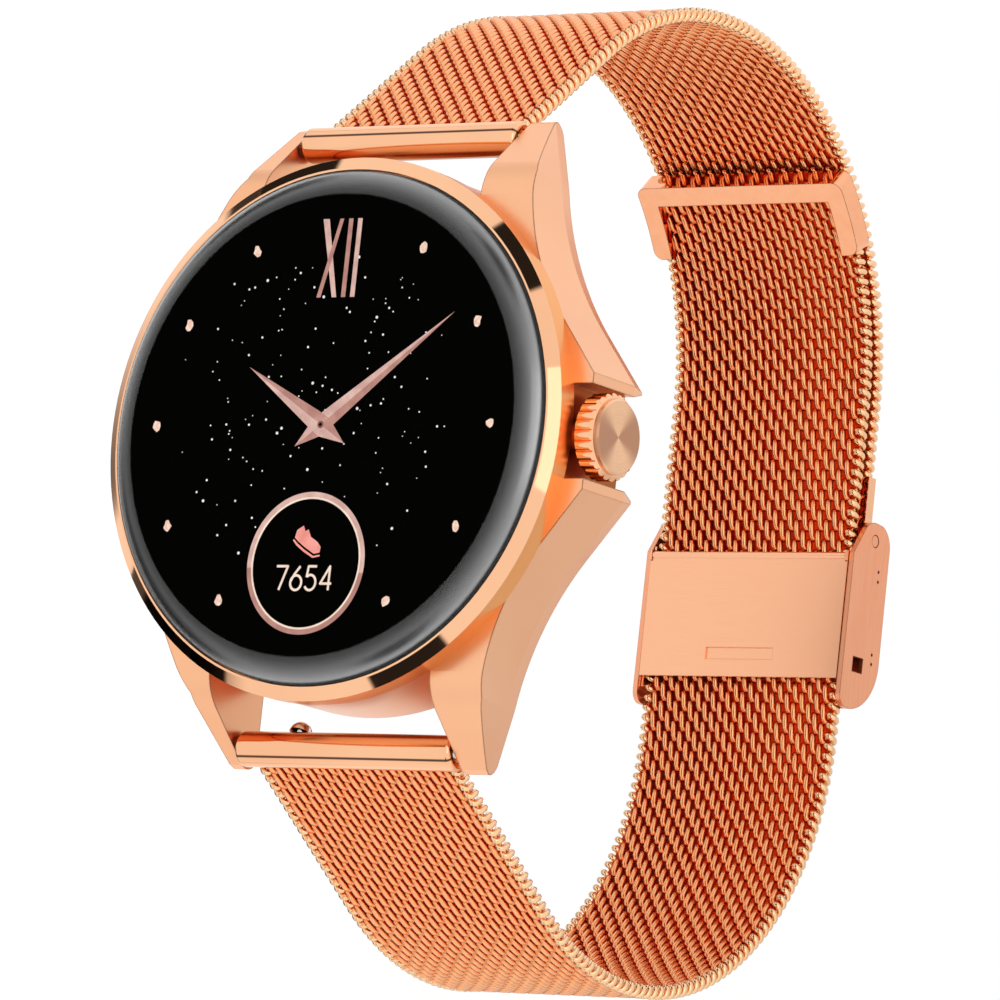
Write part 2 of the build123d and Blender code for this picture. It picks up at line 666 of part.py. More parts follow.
def all_parts():
    head = [mid_case, bezel_ring, cover_glass, glass_gasket, display_panel, display_flex, main_board, board_chips,
            battery, inner_bracket, bracket_screws, vibration_motor, sensor_board, sensor_leds, sensor_window,
            case_back, case_back_gasket, case_back_screws, charging_pads]
    crown = [crown_knob, crown_cap, crown_stem, crown_tube, crown_o_ring, crown_retaining_clip, crown_spring,
             crown_encoder_wheel, crown_switch]
    strap = [upper_mesh_band, lower_mesh_band, tail_cap, upper_end_plate]
    clasp = [clasp_hinge_pin, clasp_cover, clasp_base, clasp_lock_pin, clasp_lock_plate]
    parts = {make.__name__: make() for make in head + crown + strap + clasp}
    parts.update(strap_hardware(1, "upper"))
    parts.update(strap_hardware(-1, "lower"))
    return parts


os.makedirs("parts", exist_ok=True)
for node, shape in all_parts().items():
    solids = Compound(children=list(shape)) if isinstance(shape, list) else shape
    export_step(solids, f"parts/{node}.step")
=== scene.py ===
import bpy
import math
import numpy as np
from mathutils import Matrix, Vector


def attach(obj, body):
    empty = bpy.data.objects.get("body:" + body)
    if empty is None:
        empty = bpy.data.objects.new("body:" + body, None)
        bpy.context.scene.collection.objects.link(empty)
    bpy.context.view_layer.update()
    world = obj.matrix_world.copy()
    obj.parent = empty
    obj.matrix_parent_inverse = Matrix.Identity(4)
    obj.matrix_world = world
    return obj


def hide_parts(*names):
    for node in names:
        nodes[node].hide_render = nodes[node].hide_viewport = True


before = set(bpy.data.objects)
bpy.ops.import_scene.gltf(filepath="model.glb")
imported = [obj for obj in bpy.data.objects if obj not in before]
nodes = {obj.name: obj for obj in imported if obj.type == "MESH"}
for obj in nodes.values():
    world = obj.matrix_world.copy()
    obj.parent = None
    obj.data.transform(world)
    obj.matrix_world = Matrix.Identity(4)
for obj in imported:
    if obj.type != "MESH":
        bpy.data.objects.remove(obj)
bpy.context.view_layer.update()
MM = 0.001

# ---- sizes shared with the model, millimetres ---------------------------------------------------
BAR_Y, BAR_Z = 24.7, 3.34
LOOP_Y, LOOP_Z = 14.0, -26.3
UPPER_R, LOWER_R = 27.2, 25.5
UPPER_END_Y = 8.0
TAIL_ANGLE = math.radians(-45.2)
GLASS_TOP = 12.15
GLASS_FLAT_R = 18.4
GLASS_R = 20.75
SEAT_R = 18.95
GLASS_FOOT = 10.1
RIM_DROP = 1.1             # fall of the glass rim from its flat to its edge
# Below these heights the bezel's wall also carries painted shade.
BEZEL_WALL = (10.38, 10.44)  # heights between which the bezel goes from satin to polished
CROWN_Z = 5.8
# The next three bound the painted shade in the recess behind the crown.
NOTCH_HALF = (3.6, 3.8)    # half width of the crown recess, and where its deeper tone ends
SEAT_START = (21.2, 21.28)
SEAT_END = (21.6, 22.6)
FLOOR_Z = -56.4


# ---- material helpers ---------------------------------------------------------------------------
class Nodes:
    """Short calls for building one material's node tree."""

    def __init__(self, name):
        self.mat = bpy.data.materials.new(name)
        self.mat.use_nodes = True
        self.nt = self.mat.node_tree
        self.nt.nodes.clear()
        self.out = self.nt.nodes.new("ShaderNodeOutputMaterial")

    def add(self, kind, **values):
        n = self.nt.nodes.new("ShaderNode" + kind)
        for k, v in values.items():
            setattr(n, k, v)
        return n

    def link(self, a, b):
        self.nt.links.new(a, b)

    def place(self):
        return self.add("TexCoord").outputs["Object"]

    def xyz(self):
        """The three object coordinates, in metres."""
        split = self.add("SeparateXYZ")
        self.link(self.place(), split.inputs[0])
        return split.outputs[0], split.outputs[1], split.outputs[2]

    def coords(self, scale=(1, 1, 1)):
        mapping = self.add("Mapping")
        mapping.inputs["Scale"].default_value = scale
        self.link(self.place(), mapping.inputs["Vector"])
        return mapping.outputs["Vector"]

    def noise(self, vector, scale, detail=2.0, rough=0.5):
        n = self.add("TexNoise")
        n.inputs["Scale"].default_value = scale
        n.inputs["Detail"].default_value = detail
        n.inputs["Roughness"].default_value = rough
        self.link(vector, n.inputs["Vector"])
        return n.outputs["Fac"]

    def span(self, value, low, high, to_low, to_high, smooth=False):
        n = self.add("MapRange", interpolation_type="SMOOTHSTEP" if smooth else "LINEAR")
        ends = {"From Min": low, "From Max": high, "To Min": to_low, "To Max": to_high}
        for key, v in ends.items():
            n.inputs[key].default_value = v
        self.link(value, n.inputs["Value"])
        return n.outputs["Result"]

    def math(self, op, a, b=None):
        n = self.add("Math", operation=op)
        for i, v in enumerate((a, b)):
            if v is None:
                continue
            if isinstance(v, (int, float)):
                n.inputs[i].default_value = v
            else:
                self.link(v, n.inputs[i])
        return n.outputs[0]

    def blend(self, fac, a, b):
        n = self.add("Mix", data_type="RGBA")
        self.link(fac, n.inputs["Factor"])
        for socket, v in ((n.inputs[6], a), (n.inputs[7], b)):
            if isinstance(v, tuple):
                socket.default_value = (*v, 1)
            else:
                self.link(v, socket)
        return n.outputs[2]

    def mottle(self, fac, dark, light):
        """Two tones of one colour, mixed by a noise."""
        return self.blend(self.span(fac, 0.35, 0.65, 0, 1), dark, light)

    def distance(self, point):
        """How far a point of the surface is from the given point, in metres."""
        n = self.add("VectorMath", operation="DISTANCE")
        self.link(self.place(), n.inputs[0])
        n.inputs[1].default_value = point
        return n.outputs["Value"]

    def bump(self, height, strength, distance):
        n = self.add("Bump")
        n.inputs["Strength"].default_value = strength
        n.inputs["Distance"].default_value = distance
        self.link(height, n.inputs["Height"])
        return n.outputs["Normal"]

    def painted_edge_shade(self, colour, dark, radius=0.00014):
        """Darken colour in a thin line along sharp edges: painted shade and dark reflection at the corners."""
        bevel = self.add("Bevel", samples=4)
        bevel.inputs["Radius"].default_value = radius
        geometry = self.add("NewGeometry")
        same = self.add("VectorMath", operation="DOT_PRODUCT")
        self.link(bevel.outputs["Normal"], same.inputs[0])
        self.link(geometry.outputs["Normal"], same.inputs[1])
        return self.blend(self.span(same.outputs["Value"], 0.86, 0.97, 1.0, 0.0), colour, dark)

    def principled(self, **values):
        n = self.add("BsdfPrincipled")
        for k, v in values.items():
            socket = n.inputs[k.replace("_", " ")]
            if isinstance(v, tuple):
                socket.default_value = (*v, 1) if len(v) == 3 else v
            elif isinstance(v, (int, float)):
                socket.default_value = v
            else:
                self.link(v, socket)
        self.link(n.outputs[0], self.out.inputs["Surface"])
        return n


BROAD = (60.0, 3.0)        # scale and detail of the slow change in a metal's polish


def metal(name, dark, light, rough, wobble, bump=0.0, streak=None, grain=900.0, edge=None):
    """Metal with patchy polish.

    streak stretches the grain along an axis for a brushed finish; edge is the colour of the painted shade on
    its sharp edges.
    """
    n = Nodes(name)
    fine = n.coords(scale=streak or (1, 1, 1))
    broad = n.noise(n.coords(), *BROAD)
    grain_fac = n.noise(fine, grain, 3.0, 0.6)
    mixed = n.math("ADD", n.math("MULTIPLY", grain_fac, 0.65), n.math("MULTIPLY", broad, 0.35))
    colour = n.mottle(mixed, dark, light)
    # The edge colour is painted shade along the sharp edges.
    if edge:
        colour = n.painted_edge_shade(colour, edge)
    roughness = n.span(mixed, 0.3, 0.7, rough - wobble, rough + wobble)
    extra = {}
    if bump:
        extra["Normal"] = n.bump(grain_fac, bump, 0.00002)
    n.principled(Base_Color=colour, Metallic=1.0, Roughness=roughness, **extra)
    return n.mat


def plain(name, dark, light, rough, wobble, scale=400.0, metallic=0.0, bump=0.15):
    n = Nodes(name)
    fac = n.noise(n.coords(), scale, 4.0)
    n.principled(Base_Color=n.mottle(fac, dark, light), Metallic=metallic, Normal=n.bump(fac, bump, 0.00005),
                 Roughness=n.span(fac, 0.3, 0.7, rough - wobble, rough + wobble))
    return n.mat


ROSE = (0.98, 0.525, 0.30)
ROSE_DEEP = (0.95, 0.475, 0.26)
# Colour of the dark line painted along sharp edges as shade.
EDGE_SHADE = (0.11, 0.035, 0.015)
POLISH_DARK = (0.95, 0.51, 0.29)
POLISH_LIGHT = (0.985, 0.555, 0.325)

polished = metal("rose_gold_polished", POLISH_DARK, POLISH_LIGHT, 0.035, 0.01)
# Paler, brighter copy of the wire's rose gold for the whipped edges: painted highlight where the edges catch
# the light.
wire_edge_lit = metal("rose_gold_wire_edge", (0.98, 0.58, 0.31), (1.0, 0.66, 0.40), 0.16, 0.04)
# Deep red for the ribbon inside the weave: painted shade of the gaps.
wire_core_shade = metal("rose_gold_wire_inner_shade", (0.64, 0.03, 0.004), (0.78, 0.045, 0.007), 0.5, 0.08)
# The edge colours of the brushed metals and the cap are painted shade along their sharp edges.
brushed_x = metal("rose_gold_brushed_x", (0.955, 0.475, 0.275), (0.99, 0.52, 0.31), 0.22, 0.03, bump=0.04,
                  streak=(1.0, 60.0, 60.0), grain=240.0, edge=(0.75, 0.33, 0.17))
brushed_y = metal("rose_gold_brushed_y", (0.90, 0.36, 0.19), (0.97, 0.45, 0.26), 0.3, 0.04, bump=0.1,
                  streak=(40.0, 1.0, 40.0), grain=300.0, edge=(0.40, 0.14, 0.06))
cap_metal = metal("rose_gold_cap", (0.94, 0.42, 0.225), (0.98, 0.47, 0.26), 0.06, 0.015, edge=EDGE_SHADE)
steel = metal("bright_steel", (0.72, 0.72, 0.72), (0.86, 0.85, 0.84), 0.12, 0.03)
rubber = plain("seal_rubber", (0.02, 0.02, 0.02), (0.04, 0.04, 0.04), 0.6, 0.1)
board = plain("circuit_board", (0.01, 0.09, 0.05), (0.015, 0.14, 0.08), 0.45, 0.1)
chip = plain("chip", (0.015, 0.015, 0.018), (0.03, 0.03, 0.035), 0.4, 0.1)
flex = plain("flex", (0.25, 0.09, 0.015), (0.35, 0.14, 0.03), 0.35, 0.08)
foil = plain("battery_foil", (0.45, 0.46, 0.48), (0.6, 0.61, 0.63), 0.3, 0.08, metallic=0.8)
inner = plain("inner_plastic", (0.03, 0.03, 0.033), (0.05, 0.05, 0.055), 0.5, 0.1)
back = plain("case_back", (0.012, 0.012, 0.013), (0.022, 0.022, 0.024), 0.28, 0.07, scale=1500.0, bump=0.1)
sensor = plain("sensor_glass", (0.004, 0.004, 0.005), (0.008, 0.008, 0.01), 0.05, 0.02, bump=0.0)
gold = metal("contact_gold", (0.9, 0.62, 0.25), (1.0, 0.74, 0.35), 0.2, 0.05)


def wire_metal():
    """Woven wire, with painted shade that turns it redder where it dives between its neighbours."""
    n = Nodes("rose_gold_wire")
    fac = n.noise(n.coords(), 900.0, 3.0, 0.6)
    colour = n.mottle(fac, (1.0, 0.41, 0.17), (1.0, 0.47, 0.215))
    crest = n.add("Attribute", attribute_name="crest")
    # Painted shade: the wire turns deep red where it lies low in the weave.
    colour = n.blend(crest.outputs["Fac"], (0.88, 0.12, 0.02), colour)
    n.principled(Base_Color=colour, Metallic=1.0, Roughness=n.span(fac, 0.3, 0.7, 0.2, 0.3))
    return n.mat


def bezel_metal():
    """Polished above, satin on the straight wall below its chamfer, where a deeper orange is painted shade."""
    n = Nodes("rose_gold_bezel")
    z = n.xyz()[2]
    fac = n.noise(n.coords(), *BROAD)
    upper = n.span(z, BEZEL_WALL[0] * MM, BEZEL_WALL[1] * MM, 0.0, 1.0)
    # Painted shade: the wall below the chamfer gets a deeper orange.
    wall_shaded_tint = n.blend(upper, (0.93, 0.41, 0.15), n.mottle(fac, POLISH_DARK, POLISH_LIGHT))
    wall = n.math("SUBTRACT", 0.28, n.math("MULTIPLY", upper, 0.25))
    roughness = n.math("ADD", wall, n.math("MULTIPLY", fac, 0.01))
    n.principled(Base_Color=wall_shaded_tint, Metallic=1.0, Roughness=roughness)
    return n.mat


def spun_metal():
    """Crown cap turned on a lathe: fine rings round the X axis, with light and dark wedges painted in as
    reflection.
    """
    n = Nodes("rose_gold_spun")
    _, y, height = n.xyz()
    z = n.math("SUBTRACT", height, CROWN_Z * MM)
    r = n.math("SQRT", n.math("ADD", n.math("MULTIPLY", y, y), n.math("MULTIPLY", z, z)))
    comb = n.add("CombineXYZ")
    n.link(r, comb.inputs[0])
    rings = n.noise(comb.outputs[0], 14000.0, 2.0)
    tangent = n.add("Tangent", direction_type="RADIAL", axis="X")
    colour = n.blend(n.span(rings, 0.3, 0.7, 0, 1), (0.88, 0.50, 0.29), (0.98, 0.61, 0.38))
    # Painted reflection: light and dark wedges by angle round the cap.
    turn = n.math("ARCTAN2", y, z)
    painted_wedge = n.math("COSINE", n.math("MULTIPLY", n.math("ADD", turn, 0.2 + math.pi / 2), 2.0))
    colour = n.blend(n.span(painted_wedge, -0.7, 0.8, 0.0, 1.0, smooth=True), (0.53, 0.27, 0.16), colour)
    n.principled(Base_Color=colour, Metallic=1.0, Roughness=0.26, Anisotropic=0.6, Anisotropic_Rotation=0.25,
                 Tangent=tangent.outputs[0], Normal=n.bump(rings, 0.2, 0.000004))
    return n.mat


# Where the painted dark reflection line lies on the end tubes, in degrees.
LINE_TURN, LINE_LEAN = 25.75, 6.25


def tube_metal():
    """Polished end tube with a painted dark reflection line along its outer flank and painted shade towards the
    case.
    """
    n = Nodes("rose_gold_tube")
    _, y, z = n.xyz()
    out = n.math("SUBTRACT", n.math("ABSOLUTE", y), BAR_Y * MM)
    turn = n.math("ARCTAN2", out, n.math("SUBTRACT", z, BAR_Z * MM))
    fac = n.noise(n.coords(), *BROAD)
    colour = n.mottle(fac, (0.95, 0.50, 0.28), POLISH_LIGHT)
    # From the top of each tube, the painted dark line lies at LINE_TURN less LINE_LEAN on the upper one, and at
    # their sum on the lower one.
    shift = n.math("MULTIPLY", y, math.radians(LINE_LEAN) / (BAR_Y * MM))
    away = n.math("ABSOLUTE", n.math("SUBTRACT", n.math("ADD", turn, shift), math.radians(LINE_TURN)))
    # Painted dark reflection line, then painted shade towards the case.
    line = n.span(away, math.radians(2.5), math.radians(5.5), 0.92, 0.0)
    inward_shade = n.span(turn, math.radians(-75), math.radians(-12), 0.8, 0.0, smooth=True)
    colour = n.blend(inward_shade, colour, (0.34, 0.10, 0.025))
    colour = n.blend(line, colour, (0.05, 0.015, 0.008))
    n.principled(Base_Color=colour, Metallic=1.0, Roughness=0.05)
    return n.mat


def case_metal():
    """Satin case, with painted shade in the recess behind the crown and painted dark lines along its sharp
    edges.
    """
    n = Nodes("rose_gold_case")
    x, y, _ = n.xyz()
    fac = n.noise(n.coords(), *BROAD)
    colour = n.mottle(fac, ROSE_DEEP, ROSE)
    # Painted shade in the recess behind the crown.
    recess_shade = n.span(n.math("ABSOLUTE", y), NOTCH_HALF[0] * MM, NOTCH_HALF[1] * MM, 1.0, 0.0)
    recess_shade = n.math("MULTIPLY", recess_shade, n.span(x, SEAT_START[0] * MM, SEAT_START[1] * MM, 0.0, 1.0))
    recess_shade = n.math("MULTIPLY", recess_shade, n.span(x, SEAT_END[0] * MM, SEAT_END[1] * MM, 1.0, 0.0))
    colour = n.painted_edge_shade(n.blend(recess_shade, colour, (0.42, 0.12, 0.03)), EDGE_SHADE, radius=0.0002)
    n.principled(Base_Color=colour, Metallic=1.0,
                 Roughness=n.span(fac, 0.3, 0.7, 0.27, 0.32))
    return n.mat


wire = wire_metal()
spun = spun_metal()
case_mat = case_metal()
tube_mat = tube_metal()
bezel = bezel_metal()

by_material = {
    case_mat: ["mid_case"],
    bezel: ["bezel_ring"],
    tube_mat: ["upper_end_tube", "lower_end_tube"],
    cap_metal: ["tail_cap"],
    polished: ["crown_tube", "clasp_lock_pin", "upper_end_plate", "crown_knob"],
    spun: ["crown_cap"],
    brushed_x: ["clasp_lock_plate", "clasp_base"],
    brushed_y: ["clasp_cover", "clasp_hinge_pin"],
    steel: ["crown_stem", "crown_retaining_clip", "crown_spring", "upper_spring_bar", "lower_spring_bar",
            "upper_release_lever", "lower_release_lever", "upper_bar_spring", "lower_bar_spring",
            "case_back_screws", "bracket_screws", "vibration_motor"],
    rubber: ["glass_gasket", "case_back_gasket", "crown_o_ring"],
    board: ["main_board", "sensor_board"],
    chip: ["board_chips"],
    flex: ["display_flex"],
    foil: ["battery"],
    inner: ["inner_bracket", "crown_encoder_wheel", "crown_switch"],
    back: ["case_back"],
    sensor: ["sensor_window", "sensor_leds"],
    gold: ["charging_pads"],
}
for mat, names in by_material.items():
    for name in names:
        obj = nodes[name]
        obj.data.materials.clear()
        obj.data.materials.append(mat)


# ---- mesh helpers -------------------------------------------------------------------------------
def mesh_object(name, verts, faces, mat, smooth=True):
    me = bpy.data.meshes.new(name)
    me.from_pydata([tuple(v) for v in verts], [], faces)
    me.validate()
    me.update()
    if smooth:
        me.polygons.foreach_set("use_smooth", [True] * len(me.polygons))
    obj = bpy.data.objects.new(name, me)
    bpy.context.scene.collection.objects.link(obj)
    me.materials.append(mat)
    return obj


def tubes(name, lines, radius, sides, mat, crests=None):
    """One mesh of round wires.

    Each line is an (n, 3) array in millimetres. crests holds a value for each point, for the attribute "crest".
    """
    verts, faces, base = [], [], 0
    turn = np.arange(sides) * 2 * np.pi / sides
    for line in lines:
        t = np.gradient(line, axis=0)
        t /= np.linalg.norm(t, axis=1, keepdims=True)
        u = np.array([1.0, 0, 0]) - t * t[:, :1]
        u[np.linalg.norm(u, axis=1) < 1e-3] = (0, 0, 1)
        u /= np.linalg.norm(u, axis=1, keepdims=True)
        v = np.cross(t, u)
        across = np.cos(turn)[None, :, None] * u[:, None] + np.sin(turn)[None, :, None] * v[:, None]
        verts.append((line[:, None] + radius * across).reshape(-1, 3))
        n = len(line)
        i = np.arange(n - 1)[:, None] * sides + base
        j = np.arange(sides)[None, :]
        k = (j + 1) % sides
        quads = np.stack([i + j, i + k, i + sides + k, i + sides + j], axis=-1).reshape(-1, 4)
        faces.extend(quads.tolist())
        faces.append([base + s for s in reversed(range(sides))])
        faces.append([base + (n - 1) * sides + s for s in range(sides)])
        base += n * sides
    obj = mesh_object(name, np.concatenate(verts) * MM, faces, mat)
    if crests:
        level = obj.data.attributes.new("crest", "FLOAT", "POINT")
        level.data.foreach_set("value", np.repeat(np.concatenate(crests), sides).astype(np.float32))
    return obj


# ---- strap path ---------------------------------------------------------------------------------
def tangent_angle(radius):
    dy, dz = BAR_Y - LOOP_Y, BAR_Z - LOOP_Z
    return math.atan2(dz, dy) - math.acos(radius / math.hypot(dy, dz))


def first_run(radius):
    """The strap's straight run from the bar: its angle, its two ends and its length."""
    a = tangent_angle(radius)
    start = np.array([BAR_Y, BAR_Z])
    touch = np.array([LOOP_Y + radius * math.cos(a), LOOP_Z + radius * math.sin(a)])
    return a, start, touch, float(np.linalg.norm(touch - start))


def along(s, radius):
    """Point (y, z) and outward normal at each distance s from the bar, for a strap on the +Y side.

    The strap runs straight, round, flat, then round again on the far side.
    """
    a, start, touch, straight = first_run(radius)
    arc = radius * (a + math.pi / 2)
    flat = 2 * LOOP_Y
    s = np.asarray(s, float)
    pos = np.zeros(s.shape + (2,))
    nor = np.zeros(s.shape + (2,))
    run = (touch - start) / straight
    m = s < straight
    pos[m] = start + s[m][:, None] * run
    nor[m] = (math.cos(a), math.sin(a))
    m = (s >= straight) & (s < straight + arc)
    ang = a - (s[m] - straight) / radius
    nor[m] = np.stack([np.cos(ang), np.sin(ang)], -1)
    pos[m] = np.array([LOOP_Y, LOOP_Z]) + radius * nor[m]
    m = (s >= straight + arc) & (s < straight + arc + flat)
    pos[m] = np.stack([LOOP_Y - (s[m] - straight - arc), np.full(m.sum(), LOOP_Z - radius)], -1)
    nor[m] = (0, -1)
    m = s >= straight + arc + flat
    ang = -math.pi / 2 - (s[m] - straight - arc - flat) / radius
    nor[m] = np.stack([np.cos(ang), np.sin(ang)], -1)
    pos[m] = np.array([-LOOP_Y, LOOP_Z]) + radius * nor[m]
    return pos, nor


def on_strap(s, h, x, radius, side):
    """Points at distances s from the bar, heights h above the strap's middle and places x across it."""
    pos, nor = along(s, radius)
    p = pos + h[:, None] * nor
    return np.stack([x, side * p[:, 0], p[:, 1]], -1)


WIRE_R = 0.245
ROW = 0.875                # pitch of the rows along the strap
TURN = 1.5                 # pitch of each coil across the strap
COIL_S = 0.82              # half of a coil's length along the strap
COIL_H = 0.34              # half of its height
COIL_FLAT = 1.5            # how flat its top and bottom are
COIL_STEPS = 12            # points in each half turn
MESH_HALF = 9.25
STEEP = 0.47               # how much of each turn's sideways travel happens at its two bends
WHIP_R = 0.27
WHIP_X = 9.40              # middle of the whipped edge
WHIP_REACH = 0.27
WHIP_RISE = 0.38
WHIP_STEPS = 14
CORE_HALF = 9.35
CORE_RISE = 0.06
BAND_START = 1.2           # the weave starts this far from the bar


def woven_band(name, body, node, radius, side, first, last, cuts=1):
    """Interlinked flat coils, one per row across the strap, and a whipped wire along each long edge."""
    rows = int((last - first) // ROW)
    lean = -side           # keeps the same handedness on both halves of the loop
    for part in range(cuts):
        lines, crests = [], []
        low, high = rows * part // cuts, rows * (part + 1) // cuts
        for k in range(low, high):
            centre = first + (k + 0.5) * ROW
            shift = (k % 2) * 0.5
            reach = 2 * math.pi * MESH_HALF / TURN
            count = int(reach / math.pi * COIL_STEPS) + 1
            phi = np.linspace(-reach, reach, count) + 2 * math.pi * shift
            x = TURN / (2 * math.pi) * (phi + STEEP * np.sin(2 * phi)) - TURN * shift
            s = centre - lean * COIL_S * np.cos(phi)
            h = COIL_H * np.tanh(COIL_FLAT * np.sin(phi)) / math.tanh(COIL_FLAT)
            lines.append(on_strap(s, h, x, radius, side))
            # How high each point stands in the coil, which sets the wire's painted shade.
            crests.append(np.clip((np.abs(h) / COIL_H - 0.25) / 0.6, 0, 1))
        obj = tubes(f"{name}_{part + 1}", lines, WIRE_R, 6, wire, crests)
        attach(obj, body)
        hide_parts(node)

    t = np.linspace(0, rows, rows * WHIP_STEPS + 1)
    phi = 2 * math.pi * t
    whips = [on_strap(first + t * ROW, WHIP_RISE * np.sin(phi) * edge * side,
                      edge * (WHIP_X + WHIP_REACH * np.cos(phi)), radius, side)
             for edge in (-1, 1)]
    # The whipped edges take the paler copy with its painted highlight.
    whip = tubes(name + "_edges", whips, WHIP_R, 8, wire_edge_lit)
    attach(whip, body)

    # A thin ribbon for the wires deep in the weave, which close the gaps between the coils; its dark red is
    # painted shade.
    s = np.linspace(first, first + rows * ROW, rows + 1)
    verts, faces = [], []
    for h in (-CORE_RISE, CORE_RISE):
        for x in (-CORE_HALF, CORE_HALF):
            verts.append(on_strap(s, np.full(len(s), h), np.full(len(s), x), radius, side))
    n = len(s)
    for i in range(n - 1):
        for a, b in ((0, 1), (1, 3), (3, 2), (2, 0)):
            faces.append([a * n + i, b * n + i, b * n + i + 1, a * n + i + 1])
    faces += [[0, 2 * n, 3 * n, n], [n - 1, 2 * n - 1, 4 * n - 1, 3 * n - 1]]
    core = mesh_object(name + "_core", np.concatenate(verts) * MM, faces, wire_core_shade)
    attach(core, body)


def strap_length(radius, end):
    """Where the weave ends: on the flat under the clasp, or at the tail past it."""
    a, _, _, straight = first_run(radius)
    length = straight + radius * (a + math.pi / 2)
    if end == "flat":
        return length + LOOP_Y - UPPER_END_Y
    return length + 2 * LOOP_Y + radius * (math.pi / 2 + TAIL_ANGLE)


woven_band("upper_mesh", "upper_strap", "upper_mesh_band", UPPER_R, 1,
           BAND_START, strap_length(UPPER_R, "flat"))
woven_band("lower_mesh", "lower_strap", "lower_mesh_band", LOWER_R, -1,
           BAND_START, strap_length(LOWER_R, "tail"), cuts=2)


# ---- dial ---------------------------------------------------------------------------------------
DIAL_Z = 11.93


def revolve(name, profile, mat, steps=192):
    """Closed ring of the (r, z) profile about Z; points on the axis become single vertices."""
    verts, rings = [], []
    turns = [2 * math.pi * i / steps for i in range(steps)]
    for r, z in profile:
        if r < 1e-6:
            rings.append([len(verts)])
            verts.append((0, 0, z * MM))
        else:
            rings.append(list(range(len(verts), len(verts) + steps)))
            verts += [(r * MM * math.cos(t), r * MM * math.sin(t), z * MM) for t in turns]
    faces = []
    for a, b in zip(rings, rings[1:] + rings[:1]):
        for i in range(steps):
            j = (i + 1) % steps
            f = [a[i % len(a)], a[j % len(a)], b[j % len(b)], b[i % len(b)]]
            f = [v for n, v in enumerate(f) if v not in f[:n]]
            if len(f) > 2:
                faces.append(f)
    return mesh_object(name, verts, faces, mat)


def rim_arc(steps, inset=0.0):
    """Glass rim from its flat to its edge, as (r, z) points."""
    run = GLASS_R - GLASS_FLAT_R
    radius = (run * run + RIM_DROP * RIM_DROP) / (2 * RIM_DROP)
    end = math.asin(run / radius)
    r0 = radius - inset
    turns = [end * i / steps for i in range(steps + 1)]
    return [(GLASS_FLAT_R + r0 * math.sin(t), GLASS_TOP - radius + r0 * math.cos(t)) for t in turns]


def glass_material():
    """Clear over the display, with a gloss that grows down the curved rim and stops at its lip."""
    n = Nodes("coated_glass")
    x, y, _ = n.xyz()
    r = n.math("SQRT", n.math("ADD", n.math("MULTIPLY", x, x), n.math("MULTIPLY", y, y)))
    rim = n.span(r, 18.5 * MM, 18.7 * MM, 0.0, 1.0, smooth=True)
    down = n.math("POWER", n.span(r, 18.6 * MM, 20.5 * MM, 0.0, 1.0), 1.8)
    edge = n.math("ADD", 0.06, n.math("MULTIPLY", down, 0.36))
    weight = n.add("LayerWeight")
    weight.inputs["Blend"].default_value = 0.5
    edge = n.math("ADD", edge, n.math("MULTIPLY", n.math("POWER", weight.outputs["Facing"], 3.0), 0.54))
    lip = n.span(r, 20.45 * MM, 20.6 * MM, 1.0, 0.1)
    share = n.math("ADD", 0.0006, n.math("MULTIPLY", rim, n.math("MULTIPLY", edge, lip)))
    clear = n.add("BsdfTransparent")
    gloss = n.add("BsdfGlossy")
    gloss.inputs["Roughness"].default_value = 0.24
    mix = n.add("MixShader")
    n.link(share, mix.inputs[0])
    n.link(clear.outputs[0], mix.inputs[1])
    n.link(gloss.outputs[0], mix.inputs[2])
    n.link(mix.outputs[0], n.out.inputs["Surface"])
    return n.mat


def clear_inside():
    n = Nodes("glass_inner_face")
    clear = n.add("BsdfTransparent")
    n.link(clear.outputs[0], n.out.inputs["Surface"])
    return n.mat


def display_black():
    n = Nodes("display_black")
    fac = n.noise(n.coords(), 3000.0, 2.0)
    colour = n.blend(fac, (0.0004, 0.0005, 0.0003), (0.0008, 0.001, 0.0006))
    n.principled(Base_Color=colour, Roughness=0.5, Specular_IOR_Level=0.0)
    return n.mat


def glow(name, low, high, scale=900.0):
    """Lit display content: an unlit colour with a slight fine mottle."""
    n = Nodes(name)
    fac = n.noise(n.coords(), scale, 2.0)
    light = n.add("Emission")
    n.link(n.mottle(fac, low, high), light.inputs["Color"])
    n.link(light.outputs[0], n.out.inputs["Surface"])
    return n.mat


def srgb(r, g, b):
    """A colour in 0 to 255 as linear light."""
    def linear(c):
        c /= 255
        return c / 12.92 if c < 0.04045 else ((c + 0.055) / 1.055) ** 2.4
    return linear(r), linear(g), linear(b)


black = display_black()
glass_mat = glass_material()
ink_light = glow("dial_rose_light", srgb(205, 165, 155), srgb(228, 190, 178))
ink_mid = glow("dial_rose_mid", srgb(178, 128, 118), srgb(196, 146, 134))
ink_dark = glow("dial_rose_dark", srgb(120, 78, 70), srgb(140, 94, 84))
ink_dot = glow("dial_dot", srgb(235, 195, 175), srgb(255, 225, 205), scale=3000.0)
ink_cream = glow("dial_cream", srgb(240, 215, 195), srgb(252, 232, 214))
ink_pink = glow("dial_pink", srgb(238, 148, 138), srgb(250, 168, 156))
ink_star = glow("dial_star", srgb(225, 222, 220), srgb(255, 252, 250), scale=5000.0)

